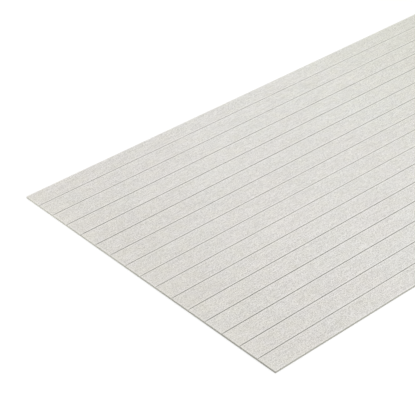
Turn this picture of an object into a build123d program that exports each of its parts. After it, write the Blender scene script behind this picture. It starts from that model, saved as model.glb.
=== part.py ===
from build123d import *
import os
from math import floor

# Grooved lining board: one flat sheet of fibre cement, cured as one piece, with
# V-grooves cut along its face so that the wall reads as narrow boards.
# The origin is on the underside, at the middle of the sheet. +X runs along the
# length and the grooves, +Y across the narrow boards, +Z up out of the face.

os.makedirs("parts", exist_ok=True)

# The sheet
board_length = 2400.0
board_width = 1200.0
board_thickness = 7.5

# Spacing of the grooves, from the centre line out to the long edges
centre_strip = 73.5         # centre groove to the first one beside it
groove_pitch = 75.5         # between all the others
least_edge_strip = 30.0     # a groove is never cut closer to a long edge

# Section of one groove
groove_mouth = 3.6          # across the top, before its rims are eased
groove_depth = 2.1
groove_floor = 0.5          # flat left by the blunt tip of the cutter
rim_radius = 0.4

# Square-sawn edges, with the sharpness taken off the long ones
arris = 0.5

# Places of the grooves across the sheet
half_width = board_width / 2
pitches_per_half = floor((half_width - centre_strip - least_edge_strip) / groove_pitch)
offsets = [centre_strip + i * groove_pitch for i in range(pitches_per_half + 1)]
groove_places = [-y for y in reversed(offsets)] + [0.0] + offsets

# The cutter's outline, with its mouth on the X axis
with BuildSketch() as groove:
    with BuildLine():
        Polyline(
            (-groove_mouth / 2, 0),
            (-groove_floor / 2, -groove_depth),
            (groove_floor / 2, -groove_depth),
            (groove_mouth / 2, 0),
            close=True,
        )
    make_face()

# The sheet's section, seen along its length, grooved and with every rim eased
with BuildSketch(Plane.YZ.offset(-board_length / 2)) as section:
    Rectangle(board_width, board_thickness, align=(Align.CENTER, Align.MIN))
    with Locations(*[(y, board_thickness) for y in groove_places]):
        add(groove.sketch, mode=Mode.SUBTRACT)
    face_corners = section.vertices().group_by(Axis.Y)[-1].sort_by(Axis.X)
    fillet(face_corners[1:-1], radius=rim_radius)

# The sheet
with BuildPart() as lining_board:
    extrude(section.sketch, amount=board_length)
    runs = lining_board.edges().filter_by(Axis.X).group_by(Axis.Y)
    chamfer(runs[0] + runs[-1], length=arris)

lining_board.part.label = "lining_board"
export_step(lining_board.part, "parts/lining_board.step")
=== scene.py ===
import math
import random
import bmesh
import bpy
from mathutils import Matrix, Vector, noise


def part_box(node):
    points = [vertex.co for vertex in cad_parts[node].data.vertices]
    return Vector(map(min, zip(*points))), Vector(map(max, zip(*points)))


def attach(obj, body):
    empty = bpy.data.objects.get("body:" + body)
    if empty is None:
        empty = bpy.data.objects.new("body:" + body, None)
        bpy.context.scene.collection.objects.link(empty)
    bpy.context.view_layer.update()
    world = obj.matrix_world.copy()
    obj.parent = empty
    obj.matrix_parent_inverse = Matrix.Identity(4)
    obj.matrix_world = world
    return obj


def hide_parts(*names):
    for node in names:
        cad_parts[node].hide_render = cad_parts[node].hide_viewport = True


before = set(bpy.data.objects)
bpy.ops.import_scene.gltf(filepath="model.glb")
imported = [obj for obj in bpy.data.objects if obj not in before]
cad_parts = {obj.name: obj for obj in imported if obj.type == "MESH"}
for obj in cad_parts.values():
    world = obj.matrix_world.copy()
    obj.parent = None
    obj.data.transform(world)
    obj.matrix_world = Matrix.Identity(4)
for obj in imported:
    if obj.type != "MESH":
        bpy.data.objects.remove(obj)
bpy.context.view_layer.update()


# The sheet.
# One slab of fibre cement: thin wet films pressed together, cured, sanded on the face and then
# grooved by a row of rotary cutters. It is a single piece, with nothing fixed to it.
low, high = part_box("lining_board")
size = high - low

groove_pitch = 0.0755
centre_strip = 0.0735
grooves_per_half = 7
groove_mouth = 0.0036
groove_depth = 0.0021
groove_floor = 0.0005
eased_rim = 0.00022
mouth_edge = groove_mouth / 2 + 2 * eased_rim
rim_guard = 0.0012          # a line this far outside each rim keeps the flat face flat

corner_blunting = 0.0015
corner_facets = 3
arris = 0.00045
eased_facets = 2
end_block = 0.004           # a cut this far from each end keeps its blunted corners apart
cuts_along = 540
tolerance = 1e-6
level = 0.9                 # a face is level where its normal rises or falls by more than this
open_upwards = 0.1          # and belongs to the top where it rises by more than this

face_waver = 0.00003
face_waver_reach = 0.4
side_waver = 0.00004
side_waver_reach = 0.03
rim_waver = 0.00004
rim_drop_reach = 0.012
rim_sway_reach = 0.02
depth_waver = 0.00005
depth_waver_reach = 0.12
depth_swing = 0.00012
nicks = 38
nick_seed = 15
nick_reach = 0.006
nick_depth = (0.0001, 0.0003)

offsets = [centre_strip + i * groove_pitch for i in range(grooves_per_half)]
groove_places = [-y for y in reversed(offsets)] + [0.0] + offsets

# The cutter head rides up and down a little across the sheet, so the grooves differ in depth from one
# to the next. The groove colour paints matching shade on the same wave.
head_wave = 8 * groove_pitch
head_phase = 2.906


def bevel(mesh, edges, offset, segments):
    """Rounds the given edges."""
    bmesh.ops.bevel(
        mesh, geom=edges, offset=offset, offset_type="OFFSET", affect="EDGES",
        segments=segments, profile=0.5, material=-1, clamp_overlap=True,
    )


def start_blank():
    """A plain slab that fills the sheet's box, with blunted corners and eased outlines."""
    mesh = bmesh.new()
    bmesh.ops.create_cube(mesh, size=1.0)
    bmesh.ops.scale(mesh, vec=size, verts=mesh.verts)
    bmesh.ops.translate(mesh, vec=(low + high) / 2, verts=mesh.verts)
    upright = [e for e in mesh.edges if abs(e.verts[0].co.z - e.verts[1].co.z) > size.z / 2]
    bevel(mesh, upright, corner_blunting, corner_facets)
    outlines = [e for e in mesh.edges if abs(e.verts[0].co.z - e.verts[1].co.z) < tolerance]
    bevel(mesh, outlines, arris, eased_facets)
    return mesh


def cut(mesh, faces, point, across):
    """Splits the given faces along a plane."""
    parts = set(faces)
    for face in faces:
        parts.update(face.edges)
        parts.update(face.verts)
    bmesh.ops.bisect_plane(mesh, geom=list(parts), dist=tolerance, plane_co=point, plane_no=across)


def from_groove(y):
    """How far y is from the middle of the nearest groove."""
    return min(abs(y - place) for place in groove_places)


def on_top(vertex):
    """Whether a vertex of the ungrooved blank is on its face or that face's eased outline."""
    return vertex.co.z > high.z - arris - tolerance


def waver(point, reach):
    """Smooth chance, from -1 to 1, that changes over the given reach."""
    return noise.noise(point / reach)


sheet = start_blank()
for end in (-1, 1):
    cut(sheet, sheet.faces[:], (end * (high.x - end_block), 0, 0), (1, 0, 0))

# The grooves: lines on the face, whose middle pair then sinks
groove_lines = (groove_floor / 2, groove_mouth / 2, groove_mouth / 2 + rim_guard)
for place in groove_places:
    for line in groove_lines:
        for side in (-1, 1):
            top = [f for f in sheet.faces if f.normal.z > open_upwards]
            cut(sheet, top, (0, place + side * line, 0), (0, 1, 0))
for vertex in sheet.verts:
    if on_top(vertex) and from_groove(vertex.co.y) < groove_floor / 2 + tolerance:
        vertex.co.z -= groove_depth
sheet.normal_update()

# Their rims, which run straight along the sheet
rims = [
    e for e in sheet.edges
    if all(on_top(v) and abs(from_groove(v.co.y) - groove_mouth / 2) < tolerance for v in e.verts)
    and abs(e.verts[0].co.y - e.verts[1].co.y) < tolerance
]
bevel(sheet, rims, eased_rim, eased_facets)

runs = [e for e in sheet.edges if abs(e.verts[0].co.x - e.verts[1].co.x) > size.x / 2]
bmesh.ops.subdivide_edges(sheet, edges=runs, cuts=cuts_along, use_grid_fill=True)

# What each face is, before the surfaces lose their exact places
face_side, groove_side, sawn_side, back_side = range(4)
for face in sheet.faces:
    middle = face.calc_center_median()
    face.smooth = False
    if face.normal.z < -level:
        face.material_index = back_side
    elif from_groove(middle.y) < groove_mouth / 2 + eased_rim and face.normal.z > open_upwards:
        face.material_index = groove_side
    elif face.normal.z > level:
        face.material_index = face_side
    else:
        face.material_index = sawn_side

# The unevenness that a cured and machined sheet keeps
for vertex in sheet.verts:
    at = vertex.co.copy()
    sunk = high.z - at.z
    if abs(at.y) > high.y - tolerance:
        vertex.co.y -= math.copysign(side_waver * (1 + waver(at, side_waver_reach)), at.y)
    elif at.z > low.z + arris + tolerance:
        vertex.co.z -= face_waver * (1 + waver(at, face_waver_reach))
        if from_groove(at.y) < groove_floor / 2 + tolerance:
            wave = math.cos(math.tau * at.y / head_wave - head_phase)
            vertex.co.z -= depth_swing * wave + depth_waver * waver(at, depth_waver_reach)
        elif from_groove(at.y) < mouth_edge and sunk < 3 * eased_rim:
            vertex.co.z -= rim_waver * (1 + waver(at, rim_drop_reach))
            vertex.co.y += rim_waver * waver(at, rim_sway_reach)

# Small nicks knocked out of the rims in handling
chance = random.Random(nick_seed)
for _ in range(nicks):
    place = chance.choice(groove_places)
    side = chance.choice((-1, 1))
    along = chance.uniform(low.x, high.x)
    deep = chance.uniform(*nick_depth)
    for vertex in sheet.verts:
        at = vertex.co
        gone = 1 - abs(at.x - along) / nick_reach
        beside = side * (at.y - place)
        if gone > 0 and groove_floor < beside < mouth_edge and high.z - at.z < 4 * eased_rim:
            vertex.co.z -= deep * gone
            vertex.co.y += side * deep * gone

mesh_data = bpy.data.meshes.new("grooved_sheet")
sheet.to_mesh(mesh_data)
sheet.free()
board = bpy.data.objects.new("grooved_sheet", mesh_data)
bpy.context.scene.collection.objects.link(board)


def node(tree, kind, inputs=None, **settings):
    """Adds a shader node. inputs pairs its sockets with plain values or other nodes' outputs."""
    made = tree.nodes.new("ShaderNode" + kind)
    for name, value in settings.items():
        setattr(made, name, value)
    for socket, value in (inputs or {}).items():
        if isinstance(value, bpy.types.NodeSocket):
            tree.links.new(value, made.inputs[socket])
        else:
            made.inputs[socket].default_value = value
    return made


def calc(tree, operation, a, b=0.5, c=0.5):
    """One step of arithmetic."""
    return node(tree, "Math", {0: a, 1: b, 2: c}, operation=operation).outputs[0]


def straight(tree, value, slope, start):
    """start, plus the value times slope."""
    return calc(tree, "MULTIPLY_ADD", value, slope, start)


def waves(tree, value, pitch):
    """A sine wave over a value, one to each pitch."""
    return calc(tree, "SINE", calc(tree, "MULTIPLY", value, math.tau / pitch))


def fade(tree, value, start, end, to_start=0.0, to_end=1.0):
    """Maps start to end smoothly onto to_start to to_end, and holds both ends."""
    ends = {"From Min": start, "From Max": end, "To Min": to_start, "To Max": to_end}
    return node(
        tree, "MapRange", {"Value": value, **ends}, interpolation_type="SMOOTHSTEP",
    ).outputs["Result"]


def axes(tree, where):
    """A place's X along the sheet, Y across it and Z up."""
    return node(tree, "SeparateXYZ", {"Vector": where}).outputs


def add_places(tree, first, second):
    """The sum of two places or moves."""
    return node(tree, "VectorMath", {0: first, 1: second}, operation="ADD").outputs[0]


def cloudy(tree, where, scale=1.0, detail=2.0, crispness=0.5):
    """Smooth noise about a half, with as many finer layers as detail says."""
    return node(tree, "TexNoise", {
        "Vector": where, "Scale": scale, "Detail": detail, "Roughness": crispness,
    }).outputs["Fac"]


def effect(name, inputs, output):
    """Starts a node group that reads a place and puts out one value. Returns its tree, ins and out."""
    tree = bpy.data.node_groups.new(name, "ShaderNodeTree")
    tree.interface.new_socket("Vector", in_out="INPUT", socket_type="NodeSocketVector")
    for label, value in inputs.items():
        made = tree.interface.new_socket(label, in_out="INPUT", socket_type="NodeSocketFloat")
        made.default_value = value
    tree.interface.new_socket(output, in_out="OUTPUT", socket_type="NodeSocketFloat")
    start = tree.nodes.new("NodeGroupInput")
    end = tree.nodes.new("NodeGroupOutput")
    return tree, start.outputs, end.inputs[output]


def use(tree, group, where, **inputs):
    """Places a node group in a material and returns what it puts out."""
    made = tree.nodes.new("ShaderNodeGroup")
    made.node_tree = group
    tree.links.new(where, made.inputs["Vector"])
    for name, value in inputs.items():
        made.inputs[name.replace("_", " ")].default_value = value
    return made.outputs[0]


def stretched(tree, where, length, breadth, height):
    """The place, counted in grains of the given length, breadth and height."""
    grains = node(tree, "CombineXYZ", {
        axis: calc(tree, "DIVIDE", 1.0, value)
        for axis, value in zip("XYZ", (length, breadth, height))
    })
    return node(
        tree, "VectorMath", {0: where, 1: grains.outputs[0]}, operation="MULTIPLY",
    ).outputs[0]


# Streaks that run along the sheet, from the sanding belts and the felt
streaks, given, result = effect("sanding_streaks", {"Length": 0.03, "Breadth": 0.003}, "Streak")
place = stretched(streaks, given["Vector"], given["Length"], given["Breadth"], given["Breadth"])
streaks.links.new(cloudy(streaks, place), result)

# Mottling, from the curds and lumps of the mix. The noise is tilted, because a flat face that
# lies along its cells would show less of it at some sizes than at others.
tilt = (0.6, 0.4, 0.0)
mottle, given, result = effect("mottling", {"Size": 0.2, "Detail": 3.0, "Crispness": 0.5}, "Tone")
tilted = node(mottle, "Mapping", {"Vector": given["Vector"], "Rotation": tilt}).outputs[0]
place = stretched(mottle, tilted, given["Size"], given["Size"], given["Size"])
cloud = cloudy(mottle, place, detail=given["Detail"], crispness=given["Crispness"])
mottle.links.new(cloud, result)

# Pulp fibres: thin hairs that lie roughly along the sheet, each in its own direction
fibre_sway = 0.012
fibre_sway_scale = 60.0
fibre_softness = 0.06
fibres, given, result = effect(
    "pulp_fibres", {"Length": 0.012, "Breadth": 0.0008, "Rarity": 0.66}, "Hair",
)
bend = node(fibres, "TexNoise", {
    "Vector": given["Vector"], "Scale": fibre_sway_scale, "Detail": 1.0,
}).outputs["Color"]
bend = node(fibres, "VectorMath", {0: bend, 1: (0.5, 0.5, 0.5)}, operation="SUBTRACT").outputs[0]
sway = node(fibres, "VectorMath", {0: bend, "Scale": fibre_sway}, operation="SCALE").outputs[0]
place = add_places(fibres, given["Vector"], sway)
place = stretched(fibres, place, given["Length"], given["Breadth"], given["Breadth"])
whole = calc(fibres, "ADD", given["Rarity"], fibre_softness)
hairs = fade(fibres, cloudy(fibres, place, detail=0.0), given["Rarity"], whole)
fibres.links.new(hairs, result)

# Nearness to a groove: 1 at its rim, and nothing past the reach
beside_groove, given, result = effect("beside_groove", {"Reach": 0.008}, "Near")
out = calc(beside_groove, "ABSOLUTE", axes(beside_groove, given["Vector"])["Y"])
past_first = calc(beside_groove, "SUBTRACT", out, centre_strip)
from_other = calc(beside_groove, "PINGPONG", past_first, groove_pitch / 2)
apart = calc(beside_groove, "MINIMUM", out, from_other)
apart = calc(beside_groove, "SUBTRACT", apart, groove_mouth / 2)
beside_groove.links.new(fade(beside_groove, apart, 0.0, given["Reach"], 1.0, 0.0), result)

# Nearness to the outline of the sheet, raggedly broken up; it carries handling wear on the back and
# painted highlight on the face
outline, given, result = effect(
    "wear_and_highlight_outline", {"End Reach": 0.012, "Side Reach": 0.004}, "Wear",
)
along, across, _ = axes(outline, given["Vector"])
to_end = calc(outline, "SUBTRACT", high.x, calc(outline, "ABSOLUTE", along))
to_side = calc(outline, "SUBTRACT", high.y, calc(outline, "ABSOLUTE", across))
ragged = calc(outline, "ADD", cloudy(outline, given["Vector"], scale=90.0, detail=3.0), 0.5)
end_reach = calc(outline, "MULTIPLY", given["End Reach"], ragged)
side_reach = calc(outline, "MULTIPLY", given["Side Reach"], ragged)
near_end = fade(outline, to_end, 0.0, end_reach, 1.0, 0.0)
near_side = fade(outline, to_side, 0.0, side_reach, 1.0, 0.0)
outline.links.new(calc(outline, "MAXIMUM", near_end, near_side), result)


def new_material(name, shine):
    """A material; returns it, its tree, its shader and Object coordinates."""
    material = bpy.data.materials.new(name)
    material.use_nodes = True
    tree = material.node_tree
    shader = tree.nodes["Principled BSDF"]
    shader.inputs["Specular IOR Level"].default_value = shine
    where = node(tree, "TexCoord").outputs["Object"]
    return material, tree, shader, where


def add_up(tree, terms):
    """Adds (value, weight) pairs to a half, each value counted from its own middle of a half."""
    total = 0.5
    for value, weight in terms:
        total = straight(tree, calc(tree, "SUBTRACT", value, 0.5), weight, total)
    return total


def part_of(tree, mask, strength):
    """A mask at part of its strength."""
    return calc(tree, "MULTIPLY", mask, strength)


def mix(tree, factor, first, second, blend="MIX"):
    """Mixes two colours."""
    made = node(tree, "Mix", data_type="RGBA", blend_type=blend)
    for socket, value in (("Factor", factor), ("A", first), ("B", second)):
        target = next(s for s in made.inputs if s.name == socket and s.enabled)
        if isinstance(value, bpy.types.NodeSocket):
            tree.links.new(value, target)
        else:
            target.default_value = value
    return next(s for s in made.outputs if s.enabled)


def tinted(tree, colour, factor, first, second):
    """A colour under a tint that lies between two others."""
    return mix(tree, 1.0, colour, mix(tree, factor, first, second), "MULTIPLY")


def apply_finish(tree, shader, colour, roughness, height, distance, strength):
    """Feeds a finish to the shader: its colour, its roughness and its relief."""
    tree.links.new(colour, shader.inputs["Base Color"])
    tree.links.new(roughness, shader.inputs["Roughness"])
    bump = node(tree, "Bump", {"Height": height, "Distance": distance, "Strength": strength})
    tree.links.new(bump.outputs["Normal"], shader.inputs["Normal"])


# The face: sanded smooth, pale, streaked and speckled, with painted highlight beside every rim and
# along its outline
face_dark = (0.591, 0.575, 0.538, 1)
face_pale = (0.925, 0.906, 0.858, 1)
dark_pulp = (0.42, 0.40, 0.36, 1)
pale_pulp = (0.93, 0.92, 0.89, 1)
# The colour of the painted highlight beside the rims and along the outline
face_highlight = (0.92, 0.905, 0.865, 1)
near_tint = (1.0, 0.992, 0.993, 1)
far_tint = (0.972, 0.992, 0.989, 1)
warm_tint = (1.0, 1.0, 0.966, 1)
cool_tint = (1.0, 1.0, 1.022, 1)
coolest_place = -0.5        # along the sheet; it turns warmer both ways from here
cool_range = (0.0, 0.7)
other_chance = (0.31, 0.17, 0.05)   # a move to where the same noise has other values

face, tree, shader, where = new_material("sanded_face", shine=0.3)
short_streaks = use(tree, streaks, where, Length=0.030, Breadth=0.003)
long_streaks = use(tree, streaks, where, Length=0.110, Breadth=0.0032)
speckle = use(tree, mottle, where, Size=0.0032, Detail=0.0)
grit = use(tree, mottle, where, Size=0.0016, Detail=4.0, Crispness=0.75)
lumps = use(tree, mottle, where, Size=0.05, Detail=2.0)
clouds = use(tree, mottle, where, Size=0.3, Detail=2.0)
tone = add_up(tree, [
    (short_streaks, 0.85), (long_streaks, 0.6), (speckle, 1.9),
    (grit, 2.4), (lumps, 0.08), (clouds, 0.16),
])
colour = mix(tree, tone, face_dark, face_pale)

dark_hairs = use(tree, fibres, where, Length=0.009, Breadth=0.00035, Rarity=0.67)
colour = mix(tree, part_of(tree, dark_hairs, strength=0.35), colour, dark_pulp)
elsewhere = add_places(tree, where, other_chance)
pale_hairs = use(tree, fibres, elsewhere, Length=0.007, Breadth=0.00045, Rarity=0.65)
colour = mix(tree, part_of(tree, pale_hairs, strength=0.4), colour, pale_pulp)

# Painted highlight: a pale band beside every rim and along the sheet's outline. The face also turns a
# little paler over the last 11 cm at each end.
by_rims = use(tree, beside_groove, where, Reach=0.0075)
edge_highlight = use(tree, outline, where, End_Reach=0.013, Side_Reach=0.001)
end_paling = use(tree, outline, where, End_Reach=0.11, Side_Reach=0.001)
highlight_bands = part_of(tree, by_rims, strength=0.56)
highlight_bands = calc(tree, "MAXIMUM", highlight_bands, part_of(tree, edge_highlight, strength=0.40))
highlight_bands = calc(tree, "MAXIMUM", highlight_bands, part_of(tree, end_paling, strength=0.12))
colour = mix(tree, highlight_bands, colour, face_highlight)

along = axes(tree, where)["X"]
drift = straight(tree, along, slope=0.6, start=0.70)
drift = add_up(tree, [(drift, 1.0), (use(tree, mottle, where, Size=0.16, Detail=2.0), 1.6)])
colour = tinted(tree, colour, drift, near_tint, far_tint)
from_coolest = calc(tree, "ABSOLUTE", calc(tree, "SUBTRACT", along, coolest_place))
cool = use(tree, mottle, elsewhere, Size=0.04, Detail=2.0)
cool = straight(tree, calc(tree, "POWER", from_coolest, 2.0), slope=-0.36, start=cool)
colour = tinted(tree, colour, fade(tree, cool, *cool_range), warm_tint, cool_tint)

roughness = straight(tree, tone, slope=-0.12, start=0.95)
roughness = straight(tree, highlight_bands, slope=-0.3, start=roughness)
height = add_up(tree, [(short_streaks, 0.7), (speckle, 0.7), (grit, 0.8), (dark_hairs, -0.15)])
apply_finish(tree, shader, colour, roughness, height, distance=0.0001, strength=0.5)

# The grooves: raw cement that the cutters combed, with sanding dust left in the bottom. Their colours
# are darker than the face's as painted shade for the recess.
groove_dark = (0.385, 0.374, 0.345, 1)
groove_pale = (0.640, 0.624, 0.588, 1)
sanding_dust = (0.80, 0.785, 0.745, 1)
plain_tint = (1.0, 1.0, 1.0, 1)
far_groove_tint = (0.965, 1.0, 0.962, 1)
tint_run = (-0.6, 0.6)      # the stretch along the sheet over which the tint comes in
dust_patches = (0.56, 0.68)
# How much darker the painted shade makes the grooves that the head's wave cuts deepest
painted_head_shade = -0.13
chatter_pitch = 0.0026

groove, tree, shader, where = new_material("cut_groove", shine=0.25)
along, across, up = axes(tree, where)
combing = use(tree, streaks, where, Length=0.08, Breadth=0.0007)
patches = use(tree, mottle, where, Size=0.03, Detail=3.0)
grit = use(tree, mottle, where, Size=0.0012, Detail=4.0, Crispness=0.75)
# Painted shade: darker on the grooves that the head's wave cuts deeper, and lighter towards the +Y
# side and the +X end
head = calc(tree, "COSINE", straight(tree, across, math.tau / head_wave, -head_phase))
painted_groove_shade = calc(tree, "MULTIPLY", head, painted_head_shade)
painted_groove_shade = straight(tree, across, slope=0.20, start=painted_groove_shade)
painted_groove_shade = straight(tree, along, slope=0.12, start=painted_groove_shade)
tone = calc(tree, "ADD", add_up(tree, [(combing, 1.6), (patches, 0.6), (grit, 2.0)]), painted_groove_shade)
colour = mix(tree, tone, groove_dark, groove_pale)

dust = fade(tree, use(tree, mottle, where, Size=0.007, Detail=3.0), *dust_patches)
floor_height = high.z - groove_depth
at_floor = fade(tree, up, floor_height, floor_height + groove_depth / 2, 1.0, 0.0)
dust = part_of(tree, calc(tree, "MULTIPLY", dust, at_floor), strength=0.4)
run_out = part_of(tree, use(tree, outline, where, End_Reach=0.02), strength=0.6)
colour = mix(tree, calc(tree, "MAXIMUM", dust, run_out), colour, sanding_dust)
colour = tinted(tree, colour, fade(tree, along, *tint_run), plain_tint, far_groove_tint)

roughness = straight(tree, tone, slope=-0.1, start=0.99)
height = add_up(tree, [(combing, 1.0), (grit, 0.6)])
height = straight(tree, waves(tree, along, chatter_pitch), slope=0.12, start=height)
apply_finish(tree, shader, colour, roughness, height, distance=0.00012, strength=0.6)

# The sawn edges: the pressed films show as faint layers, crossed by the saw's slanting marks
film_dark = (0.358, 0.351, 0.311, 1)
film_pale = (0.562, 0.555, 0.502, 1)
arris_highlight_colour = (0.80, 0.79, 0.75, 1)
arris_highlight_strength = 0.35
arris_reach = 2.5 * arris
films_per_metre = 1150.0
breaks_per_metre = 6.0
saw_pitch = 0.0021
saw_lean = 0.4
saw_wander = 0.004

sawn, tree, shader, where = new_material("sawn_edge", shine=0.2)
along, across, up = axes(tree, where)
ripple = cloudy(tree, where, scale=25.0)
layers = node(tree, "CombineXYZ", {
    "X": calc(tree, "MULTIPLY", along, breaks_per_metre),
    "Y": calc(tree, "MULTIPLY", across, breaks_per_metre),
    "Z": straight(tree, up, slope=films_per_metre, start=ripple),
}).outputs[0]
films = cloudy(tree, layers)
round_edge = calc(tree, "ADD", along, across)
slanting = straight(tree, up, slope=saw_lean, start=round_edge)
slanting = straight(tree, ripple, slope=saw_wander, start=slanting)
saw_marks = straight(tree, waves(tree, slanting, saw_pitch), slope=0.5, start=0.5)
crumbs = use(tree, mottle, where, Size=0.0016, Detail=4.0, Crispness=0.7)
stains = use(tree, mottle, where, Size=0.05, Detail=2.0)
tone = add_up(tree, [(films, 1.3), (saw_marks, 0.10), (crumbs, 0.9), (stains, 0.5)])
colour = mix(tree, tone, film_dark, film_pale)
# Painted highlight: each sawn edge turns paler towards its top arris
top_arris_highlight = fade(tree, up, high.z - arris_reach, high.z, to_end=arris_highlight_strength)
colour = mix(tree, top_arris_highlight, colour, arris_highlight_colour)

roughness = straight(tree, tone, slope=-0.08, start=0.98)
height = add_up(tree, [(films, 0.6), (saw_marks, 0.35), (crumbs, 0.8)])
apply_finish(tree, shader, colour, roughness, height, distance=0.00015, strength=0.6)

# The back: unsanded, with the weave of the felt that carried the wet films
back_dark = (0.47, 0.462, 0.43, 1)
back_pale = (0.71, 0.70, 0.665, 1)
rubbed_back = (0.78, 0.77, 0.735, 1)
thread_pitch = 0.0024
thread_pull = 0.006

back, tree, shader, where = new_material("felt_back", shine=0.2)
along, across, _ = axes(tree, where)
pull = cloudy(tree, where, scale=9.0)
threads = []
for axis in (along, across):
    strand = straight(tree, pull, slope=thread_pull, start=axis)
    threads.append(straight(tree, waves(tree, strand, thread_pitch), slope=0.5, start=0.5))
weave = calc(tree, "MULTIPLY", *threads)
curds = use(tree, mottle, where, Size=0.006, Detail=3.0)
clouds = use(tree, mottle, where, Size=0.22, Detail=3.0)
drag = use(tree, streaks, where, Length=0.35, Breadth=0.012)
tone = add_up(tree, [(weave, 0.22), (curds, 0.8), (clouds, 0.7), (drag, 0.5)])
colour = mix(tree, tone, back_dark, back_pale)
handled = use(tree, outline, where, End_Reach=0.02, Side_Reach=0.02)
colour = mix(tree, part_of(tree, handled, strength=0.35), colour, rubbed_back)

roughness = straight(tree, tone, slope=-0.1, start=0.99)
height = add_up(tree, [(weave, 0.7), (curds, 0.8)])
apply_finish(tree, shader, colour, roughness, height, distance=0.0003, strength=0.5)

for material in (face, groove, sawn, back):
    board.data.materials.append(material)
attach(board, "root")
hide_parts("lining_board")


# The floor.
# A white studio floor under the sheet, which runs on into a white room. It keeps only the soft
# shadow along the sheet's edges.
floor_half = 30.0
floor_glow = 0.755
floor_shade = 0.30
floor_paint = 0.9
shadow_reach = (0.1, 0.7)   # the shadow's zone fades into plain white over these distances
white = (1, 1, 1, 1)

floor_mesh = bmesh.new()
bmesh.ops.create_grid(floor_mesh, x_segments=1, y_segments=1, size=floor_half)
floor_data = bpy.data.meshes.new("floor")
floor_mesh.to_mesh(floor_data)
floor_mesh.free()
floor = bpy.data.objects.new("floor", floor_data)
bpy.context.scene.collection.objects.link(floor)


def seen_directly(tree):
    """1 for rays from the camera, straight or by way of gloss or glass, and 0 for other light."""
    rays = node(tree, "LightPath").outputs
    seen = calc(tree, "MAXIMUM", rays["Is Camera Ray"], rays["Is Glossy Ray"])
    return calc(tree, "MAXIMUM", seen, rays["Is Transmission Ray"])


def grey(value):
    """A neutral colour."""
    return (value, value, value, 1)


studio_floor = bpy.data.materials.new("floor_paint")
studio_floor.use_nodes = True
tree = studio_floor.node_tree
tree.nodes.remove(tree.nodes["Principled BSDF"])
along, across, _ = axes(tree, node(tree, "TexCoord").outputs["Object"])
past_end = calc(tree, "SUBTRACT", calc(tree, "ABSOLUTE", along), high.x)
past_side = calc(tree, "SUBTRACT", calc(tree, "ABSOLUTE", across), high.y)
away = calc(tree, "MAXIMUM", past_end, past_side)
strength = fade(tree, away, *shadow_reach, floor_glow, 1.0)
glow = node(tree, "Emission", {"Color": white, "Strength": strength})
shade = node(tree, "BsdfDiffuse", {"Color": grey(floor_shade)})
shown = node(tree, "AddShader", {0: glow.outputs[0], 1: shade.outputs[0]})
paint = node(tree, "BsdfDiffuse", {"Color": grey(floor_paint)})
either = node(tree, "MixShader", {0: seen_directly(tree), 1: paint.outputs[0], 2: shown.outputs[0]})
tree.links.new(either.outputs[0], tree.nodes["Material Output"].inputs["Surface"])
floor.data.materials.append(studio_floor)


# The light.
# A long soft box hangs over the far side of the sheet. Two weaker ones lift its near end and
# its right-hand edge, and the white room fills the rest.
room_strength = 0.46
world = bpy.data.worlds.new("white_room")
bpy.context.scene.world = world
world.use_nodes = True
tree = world.node_tree
background = tree.nodes["Background"]
background.inputs["Color"].default_value = white
strength = straight(tree, seen_directly(tree), slope=1.0 - room_strength, start=room_strength)
tree.links.new(strength, background.inputs["Strength"])


def soft_lamp(name, place, aim, length, breadth, power):
    """A rectangular soft lamp that the camera doesn't see."""
    data = bpy.data.lights.new(name, "AREA")
    data.shape = "RECTANGLE"
    data.size = length
    data.size_y = breadth
    data.energy = power
    lamp = bpy.data.objects.new(name, data)
    bpy.context.scene.collection.objects.link(lamp)
    turn = (Vector(aim) - Vector(place)).to_track_quat("-Z", "Y").to_matrix().to_4x4()
    lamp.matrix_world = Matrix.Translation(place) @ turn
    lamp.visible_camera = False


soft_lamp(
    "overhead", place=(0.0, 1.0, 3.0), aim=(0.0, 0.999, 0.0),
    length=1.6, breadth=5.0, power=58.8,
)
soft_lamp(
    "left_fill", place=(-2.3, 0.8, 0.08), aim=(-1.2, 0.4, 0.0),
    length=0.5, breadth=0.2, power=9.2,
)
soft_lamp(
    "right_fill", place=(-0.2, -3.2, 1.0), aim=(-0.3, -0.6, 0.0),
    length=2.5, breadth=1.0, power=34.8,
)


# The camera.
# A long lens looks down across the near corner, from beyond one end and one long side.
camera_place = Vector((-3.2777, -2.7754, 2.6300))
camera_heading = math.radians(-40.33)
camera_tilt = math.radians(55.54)
camera_roll = math.radians(-1.69)
camera_lens = 123.08
film_width = 36.0
sight = 100.0
camera_data = bpy.data.cameras.new("camera")
camera_data.sensor_width = film_width
camera_data.lens = camera_lens
camera_data.clip_end = sight
camera = bpy.data.objects.new("camera", camera_data)
bpy.context.scene.collection.objects.link(camera)
camera.matrix_world = (
    Matrix.Translation(camera_place)
    @ Matrix.Rotation(camera_heading, 4, "Z")
    @ Matrix.Rotation(camera_tilt, 4, "X")
    @ Matrix.Rotation(camera_roll, 4, "Z")
)
bpy.context.scene.camera = camera
bpy.context.scene.view_settings.view_transform = "Standard"
